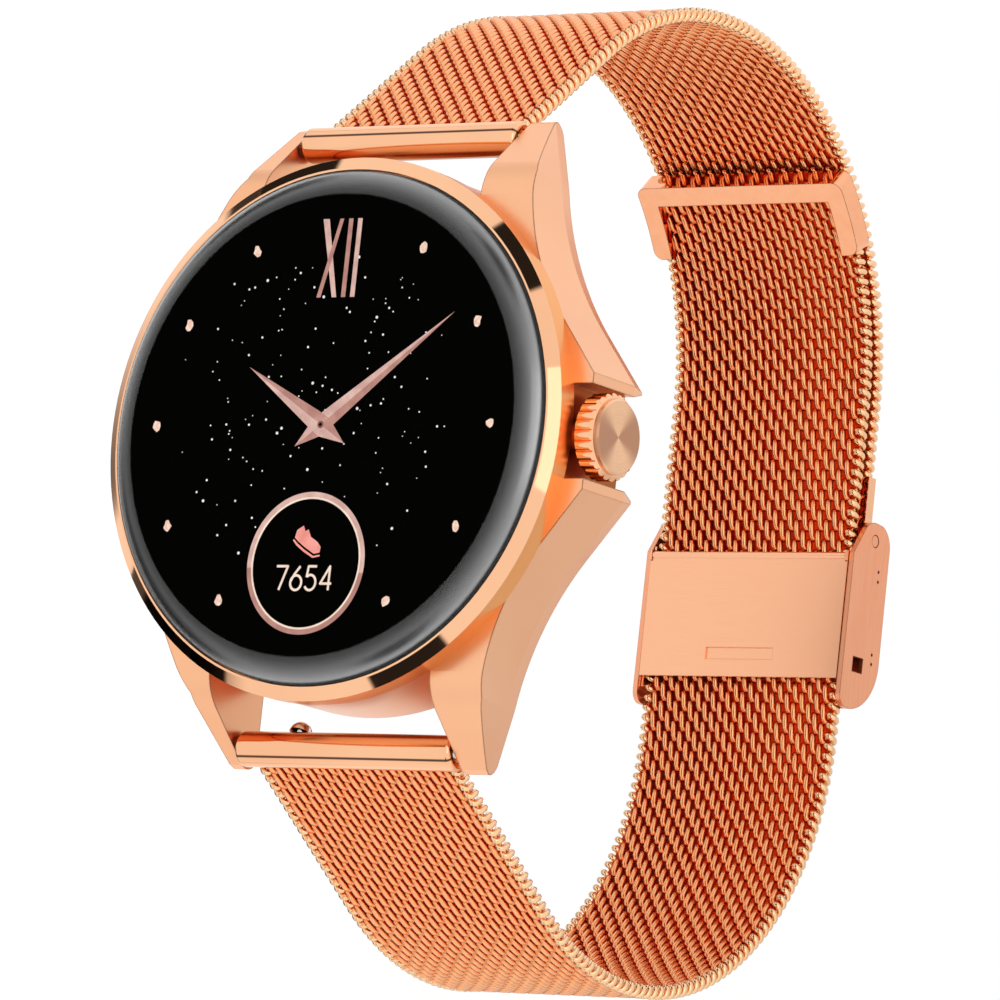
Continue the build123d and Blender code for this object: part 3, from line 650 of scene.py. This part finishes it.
# The glass is a thin lens; its inner face lies just above the lit layer.
inner_face = DIAL_Z + 0.06
lens = [(0, inner_face), (SEAT_R - 0.5, inner_face)]
lens += [(r, z) for r, z in rim_arc(12, inset=0.16) if r > SEAT_R - 0.4 and z < inner_face]
lens += [(GLASS_R - 0.12, GLASS_FOOT), (GLASS_R, GLASS_FOOT)]
lens += list(reversed(rim_arc(24))) + [(0, GLASS_TOP)]
cover = revolve("cover_lens", lens, glass_mat)
cover.data.materials.append(clear_inside())
for poly in cover.data.polygons:
    outward = Vector((poly.center.x, poly.center.y, 0.002))
    if poly.normal.dot(outward) < 0:
        poly.material_index = 1
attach(cover, "case")
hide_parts("cover_glass")

# Black display and the printed border that follows the curved rim down to the gasket.
stack = [(0, DIAL_Z - 0.3), (0, DIAL_Z), (SEAT_R - 0.45, DIAL_Z)]
stack += [(r, z) for r, z in rim_arc(12, inset=0.24) if r > SEAT_R - 0.3 and z < DIAL_Z - 0.01]
stack += [(GLASS_R - 0.22, GLASS_FOOT), (GLASS_R - 0.5, GLASS_FOOT)]
stack += [(SEAT_R, DIAL_Z - 1.0), (SEAT_R - 0.3, DIAL_Z - 0.3)]
panel = revolve("display_stack", stack, black)
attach(panel, "case")
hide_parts("display_panel")


def flat_shape(loops, z, thick=0.012):
    """Verts and faces of thin prisms over closed outlines in dial millimetres."""
    verts, faces = [], []
    for loop in loops:
        b = len(verts)
        n = len(loop)
        area = sum(a[0] * c[1] - c[0] * a[1] for a, c in zip(loop, loop[1:] + loop[:1]))
        pts = loop if area > 0 else list(reversed(loop))
        verts += [(x * MM, y * MM, z * MM) for x, y in pts]
        verts += [(x * MM, y * MM, (z + thick) * MM) for x, y in pts]
        faces.append([b + i for i in reversed(range(n))])
        faces.append([b + n + i for i in range(n)])
        faces += [[b + i, b + (i + 1) % n, b + n + (i + 1) % n, b + n + i] for i in range(n)]
    return verts, faces


def dial_piece(name, loops, mat, level=0):
    """One flat piece on the display. Pieces that cross lie on different levels."""
    verts, faces = flat_shape(loops, DIAL_Z + 0.002 + 0.014 * level)
    obj = mesh_object(name, verts, faces, mat, smooth=False)
    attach(obj, "case")
    return obj


def blob(x, y, rx, ry, n=10, wobble=None):
    """An oval of n points, each moved in or out by its wobble."""
    out = []
    for i in range(n):
        a = 2 * math.pi * i / n
        k = 1.0 if wobble is None else wobble[i]
        out.append((x + rx * k * math.cos(a), y + ry * k * math.sin(a)))
    return out


def stroke(points, width):
    """Outline quads of a polyline with round joints, as separate loops."""
    loops = []
    for (x0, y0), (x1, y1) in zip(points, points[1:]):
        d = math.hypot(x1 - x0, y1 - y0)
        nx, ny = -(y1 - y0) / d * width / 2, (x1 - x0) / d * width / 2
        loops.append([(x0 + nx, y0 + ny), (x0 - nx, y0 - ny), (x1 - nx, y1 - ny), (x1 + nx, y1 + ny)])
    for x, y in points[1:-1]:
        loops.append(blob(x, y, width / 2, width / 2, n=8))
    return loops


def arc_points(cx, cy, rx, ry, a0, a1, n):
    turns = [math.radians(a0 + (a1 - a0) * i / n) for i in range(n + 1)]
    return [(cx + rx * math.cos(t), cy + ry * math.sin(t)) for t in turns]


HOUR_R = 16.26             # circle of the hour dots
STAR_FIELD_R = 15.6        # no star lies outside this
SUB_Y = -11.1              # centre of the step counter
SUB_CLEAR_R = 6.0


rng = np.random.default_rng(11)
dots = []
for hour in (1, 2, 3, 4, 5, 7, 8, 9, 10, 11):
    a = math.radians(90 - 30 * hour)
    wobble = 1 + 0.16 * rng.standard_normal(9)
    dots.append(blob(HOUR_R * math.cos(a), HOUR_R * math.sin(a), 0.37, 0.44, n=9, wobble=wobble))
dial_piece("dial_hour_dots", dots, ink_dot)

stars = []
for i in range(175):
    r = 13.2 * math.sqrt(rng.uniform(0, 1)) if i % 4 else rng.uniform(2, 15.4)
    a = rng.uniform(0, 2 * math.pi)
    x, y = r * math.cos(a) - 0.6, r * math.sin(a) + 0.8
    if math.hypot(x, y) > STAR_FIELD_R or math.hypot(x, y - SUB_Y) < SUB_CLEAR_R:
        continue
    size = rng.choice([0.05, 0.07, 0.1, 0.13], p=[0.3, 0.35, 0.27, 0.08])
    stars.append(blob(x, y, size, size, n=6))
dial_piece("dial_stars", stars, ink_star)


def hand(name, tip, width, tail):
    """Faceted dagger hand in two tones, split down its middle."""
    length = math.hypot(*tip)
    ux, uy = tip[0] / length, tip[1] / length
    nx, ny = -uy, ux

    def at(along_, across):
        return ux * along_ + nx * across, uy * along_ + ny * across

    left = [at(-tail, 0), at(-tail * 0.15, width / 2), at(length * 0.1, width * 0.46), tip]
    right = [at(-tail, 0), tip, at(length * 0.1, -width * 0.46), at(-tail * 0.15, -width / 2)]
    dial_piece(name + "_left", [left], ink_light, level=1)
    dial_piece(name + "_right", [right], ink_mid, level=1)


hand("dial_hour_hand", (-7.6, 4.7), 1.7, 2.9)
hand("dial_minute_hand", (11.8, 8.9), 1.6, 2.9)
dial_piece("dial_hand_hub", [blob(0, 0, 0.3, 0.3, n=20)], ink_dark, level=2)
dial_piece("dial_hand_pin", [blob(0, 0, 0.14, 0.14, n=16)], black, level=3)

# Twelve o'clock numeral: X and two bars in two shades of rose.
TOP, FOOT = 16.6, 10.25
dial_piece("dial_numeral_x_falling", [[(-1.9, TOP), (-1.3, TOP), (0.16, FOOT), (-0.28, FOOT)]], ink_light)
dial_piece("dial_numeral_x_rising", [[(-0.23, TOP), (0.13, TOP), (-1.38, FOOT), (-1.77, FOOT)]], ink_mid,
           level=1)
dial_piece("dial_numeral_bar_1", [[(0.62, FOOT), (1.03, FOOT), (1.03, TOP), (0.62, TOP)]], ink_mid)
dial_piece("dial_numeral_bar_2", [[(1.5, FOOT), (1.93, FOOT), (1.93, TOP), (1.5, TOP)]], ink_light)

def ring_loops(r_out, r_in, a0, a1, n=64):
    """A stretch of the step counter's ring, as short quads."""
    outer = arc_points(0, SUB_Y, r_out, r_out, a0, a1, n)
    inner_pts = arc_points(0, SUB_Y, r_in, r_in, a0, a1, n)
    return [[outer[i], outer[i + 1], inner_pts[i + 1], inner_pts[i]] for i in range(n)]


# Step counter's ring in two tones with a bright inner line.
RING_R, RING_IN_R, LINE_IN_R = 5.7, 5.3, 5.14
dial_piece("dial_ring_upper", ring_loops(RING_R, RING_IN_R, -8, 184), ink_light)
dial_piece("dial_ring_lower", ring_loops(RING_R, RING_IN_R, 184, 352), ink_mid)
dial_piece("dial_ring_line", ring_loops(RING_IN_R, LINE_IN_R, 0, 360), ink_cream)

# Trainer icon, leaning down to the right.
ICON_Y = -9.3
shoe = [(-1.15, 0.85), (-0.55, 1.2), (-0.35, 0.75), (-0.05, 0.9), (0.25, 0.3), (0.95, -0.1),
        (1.3, -0.5), (1.25, -0.95), (0.7, -1.05), (-0.2, -0.55), (-0.95, -0.05), (-1.3, 0.25)]
sole = [(-1.38, 0.12), (-1.0, -0.22), (-0.25, -0.72), (0.66, -1.22), (1.28, -1.12),
        (1.3, -1.25), (0.62, -1.38), (-0.35, -0.88), (-1.1, -0.36), (-1.46, 0.02)]
dial_piece("dial_shoe_icon", [[(x, y + ICON_Y) for x, y in outline] for outline in (shoe, sole)], ink_pink)


def digit(kind, x, y, w, h, width):
    """Thin-stroke 7, 6, 5 or 4 with its lower left corner at (x, y)."""
    if kind == "7":
        lines = [[(x, y + h), (x + w, y + h), (x + w * 0.35, y)]]
    elif kind == "6":
        r = w / 2
        lines = [arc_points(x + r, y + h * 0.31, r, h * 0.31, 0, 360, 20),
                 [(x + w * 0.78, y + h), (x + w * 0.3, y + h * 0.66), (x + w * 0.02, y + h * 0.36)]]
    elif kind == "5":
        lines = [[(x + w * 0.92, y + h), (x + w * 0.18, y + h), (x + w * 0.08, y + h * 0.54)],
                 arc_points(x + w * 0.42, y + h * 0.32, w * 0.5, h * 0.32, 130, -150, 18)]
    else:
        lines = [[(x + w * 0.75, y), (x + w * 0.75, y + h), (x, y + h * 0.28), (x + w, y + h * 0.28)]]
    loops = []
    for line in lines:
        loops += stroke(line, width)
    return loops


DIGITS_X, DIGITS_Y, DIGIT_STEP = -2.75, -13.25, 1.46
figures = []
for i, kind in enumerate("7654"):
    figures += digit(kind, DIGITS_X + DIGIT_STEP * i, DIGITS_Y, 1.08, 1.9, 0.2)
dial_piece("dial_step_digits", figures, ink_cream)


# ---- studio -------------------------------------------------------------------------------------
# Soft dark cards round the white studio, which the polished metal reflects: the direction of each, the two
# angles from it in degrees between which it fades, and how much light it leaves.
CARDS = (
    ((-0.77, 0.63, 0.045), 11, 12.5, 0.02),
    ((0.105, 0.735, 0.66), 9, 10.5, 0.02),
    ((-0.88, -0.415, 0.24), 4.5, 6, 0.02),
    ((-0.935, -0.31, 0.155), 5.0, 6.5, 0.04),
    ((-0.972, -0.222, 0.078), 4.0, 6.0, 0.04),
    ((-0.15, -0.67, 0.71), 10, 11.5, 0.02),
    ((-0.93, -0.22, 0.1), 10, 26, 0.08),
)


def build_world():
    """White studio with the cards. Seen straight on, it is all white."""
    world = bpy.data.worlds.new("studio")
    bpy.context.scene.world = world
    world.use_nodes = True
    nt = world.node_tree
    nt.nodes.clear()
    out = nt.nodes.new("ShaderNodeOutputWorld")
    background = nt.nodes.new("ShaderNodeBackground")
    background.inputs["Color"].default_value = (1, 1, 1, 1)
    place = nt.nodes.new("ShaderNodeTexCoord")
    nt.links.new(background.outputs[0], out.inputs[0])

    def card(direction, inner, outer, left):
        dot = nt.nodes.new("ShaderNodeVectorMath")
        dot.operation = "DOT_PRODUCT"
        nt.links.new(place.outputs["Generated"], dot.inputs[0])
        dot.inputs[1].default_value = Vector(direction).normalized()
        fade = nt.nodes.new("ShaderNodeMapRange")
        fade.interpolation_type = "SMOOTHSTEP"
        fade.inputs["From Min"].default_value = math.cos(math.radians(outer))
        fade.inputs["From Max"].default_value = math.cos(math.radians(inner))
        fade.inputs["To Min"].default_value = 1.0
        fade.inputs["To Max"].default_value = left
        nt.links.new(dot.outputs["Value"], fade.inputs["Value"])
        return fade.outputs["Result"]

    def join(operation, a, b):
        n = nt.nodes.new("ShaderNodeMath")
        n.operation = operation
        nt.links.new(a, n.inputs[0])
        nt.links.new(b, n.inputs[1])
        return n.outputs[0]

    light = card(*CARDS[0])
    for values in CARDS[1:]:
        light = join("MULTIPLY", light, card(*values))
    path = nt.nodes.new("ShaderNodeLightPath")
    light = join("MAXIMUM", light, path.outputs["Is Camera Ray"])
    nt.links.new(light, background.inputs["Strength"])


build_world()


def stage_floor():
    """Pale sweep under the clasp, bright enough to read as paper white."""
    n = Nodes("studio_floor")
    floor = FLOOR_Z * MM
    lit = n.span(n.distance((0.05, -0.045, floor)), 0.01, 0.12, 0.72, 1.05, smooth=True)
    # Two dark stretches, which the bezel and the lugs reflect.
    far = n.span(n.distance((-1.15, 0.65, floor)), 0.55, 0.66, 0.05, 1.0)
    near = n.span(n.distance((-0.36, -0.12, floor)), 0.14, 0.26, 0.15, 1.0, smooth=True)
    lit = n.math("MULTIPLY", n.math("MULTIPLY", lit, far), near)
    path = n.add("LightPath")
    light = n.add("Emission")
    n.link(n.math("MAXIMUM", lit, path.outputs["Is Camera Ray"]), light.inputs["Strength"])
    n.link(light.outputs[0], n.out.inputs["Surface"])
    size = 1.5
    z = (FLOOR_Z - 0.02) * MM
    obj = mesh_object("studio_floor", [(-size, -size, z), (size, -size, z), (size, size, z), (-size, size, z)],
                      [[0, 1, 2, 3]], n.mat, smooth=False)


stage_floor()


def lamp(name, location, target, power, size):
    data = bpy.data.lights.new(name, "AREA")
    data.energy = power
    data.size = size
    obj = bpy.data.objects.new(name, data)
    bpy.context.scene.collection.objects.link(obj)
    obj.location = location
    obj.rotation_euler = (Vector(target) - Vector(location)).to_track_quat("-Z", "Y").to_euler()


lamp("key", (0.45, 0.1, 0.5), (0, 0, 0), 0.35, 0.4)


# ---- camera -------------------------------------------------------------------------------------
camera_data = bpy.data.cameras.new("camera")
camera_data.lens = 277.6
camera_data.sensor_width = 36
camera_place = (0.3598, -0.0958, 0.4926)
camera = bpy.data.objects.new("camera", camera_data)
bpy.context.scene.collection.objects.link(camera)
look = Vector((-0.5729, 0.1504, -0.8057)).normalized()
up = Vector((0.0013, 0.9832, 0.1827))
right = look.cross(up).normalized()
up = right.cross(look)
camera.matrix_world = Matrix((
    (right.x, up.x, -look.x, camera_place[0]),
    (right.y, up.y, -look.y, camera_place[1]),
    (right.z, up.z, -look.z, camera_place[2]),
    (0, 0, 0, 1),
))
camera_data.clip_start = 0.01
bpy.context.scene.camera = camera
bpy.context.scene.view_settings.view_transform = "Standard"
bpy.context.scene.view_settings.look = "None"
